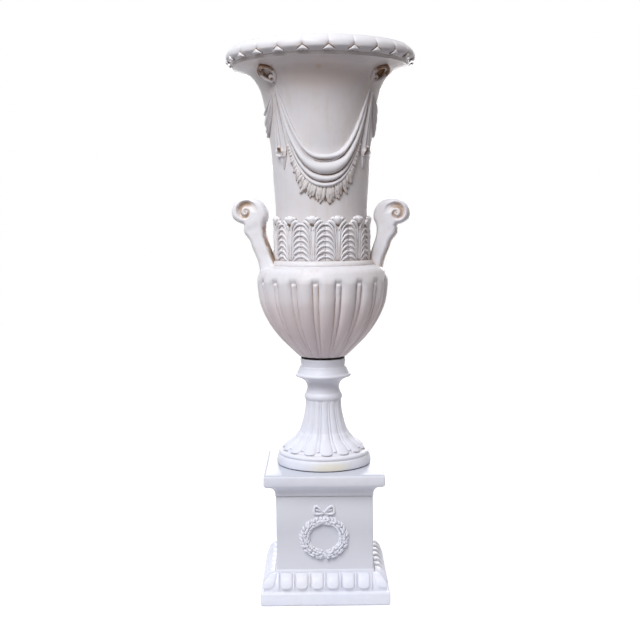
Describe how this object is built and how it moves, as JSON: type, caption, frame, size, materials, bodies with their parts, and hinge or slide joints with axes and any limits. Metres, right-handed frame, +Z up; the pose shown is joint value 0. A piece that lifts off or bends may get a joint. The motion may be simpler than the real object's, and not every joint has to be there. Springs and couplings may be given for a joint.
{
  "type": "pedestal vase",
  "caption": "Floor-standing urn in white glazed ceramic with scroll handles, draped swags and a gadrooned bowl, on a fluted foot and a square pedestal with a wreath.",
  "frame": {"origin": "centre of the pedestal's underside, on the floor", "axes": "+Z up along the axis of the vase; the pedestal's side with the wreath faces -Y; the handles lie along +X and -X, turned 4 degrees about +Z"},
  "size_m": [0.3808, 0.3808, 1.1076],
  "materials": {
    "white_glaze": "glossy cool-white glaze on cast stoneware, warm brown where it runs thin in the deepest recesses",
    "relief_glaze": "the same glossy white glaze over applied ornament, pooled in the hollows",
    "joint_rubber": "matt black",
    "zinc_steel": "bright zinc plated",
    "felt": "dark wool felt"
  },
  "bodies": {
    "pedestal": {"pedestal_shell": "white_glaze", "base_tongues": "white_glaze", "base_darts": "relief_glaze", "wreath": "relief_glaze", "bow": "relief_glaze"},
    "felt": {"felt_ring": "felt"},
    "vase": {"foot": "white_glaze", "joint_gasket": "joint_rubber", "clamp_bolt": "zinc_steel", "clamp_nut": "zinc_steel", "steel_washers": "zinc_steel", "rubber_washers": "joint_rubber", "bowl": "white_glaze", "bell": "white_glaze", "rim_moulding": "white_glaze", "rim_darts": "relief_glaze", "leaf_collar": "relief_glaze", "handle_right": "white_glaze", "handle_left": "white_glaze", "front_swag": "relief_glaze", "back_swag": "relief_glaze", "right_swag": "relief_glaze", "left_swag": "relief_glaze", "front_fringe": "relief_glaze", "back_fringe": "relief_glaze", "swag_tails": "relief_glaze", "ribbon_knots": "relief_glaze"}
  },
  "joints": [
    {"name": "vase_turn", "type": "hinge", "parent": "pedestal", "child": "felt", "pos_m": [0, 0, 0.263], "axis": [0, 0, 1], "continuous": true},
    {"name": "vase_lift", "type": "slide", "parent": "felt", "child": "vase", "axis": [0, 0, 1], "range_m": [0, 0.15]}
  ]
}
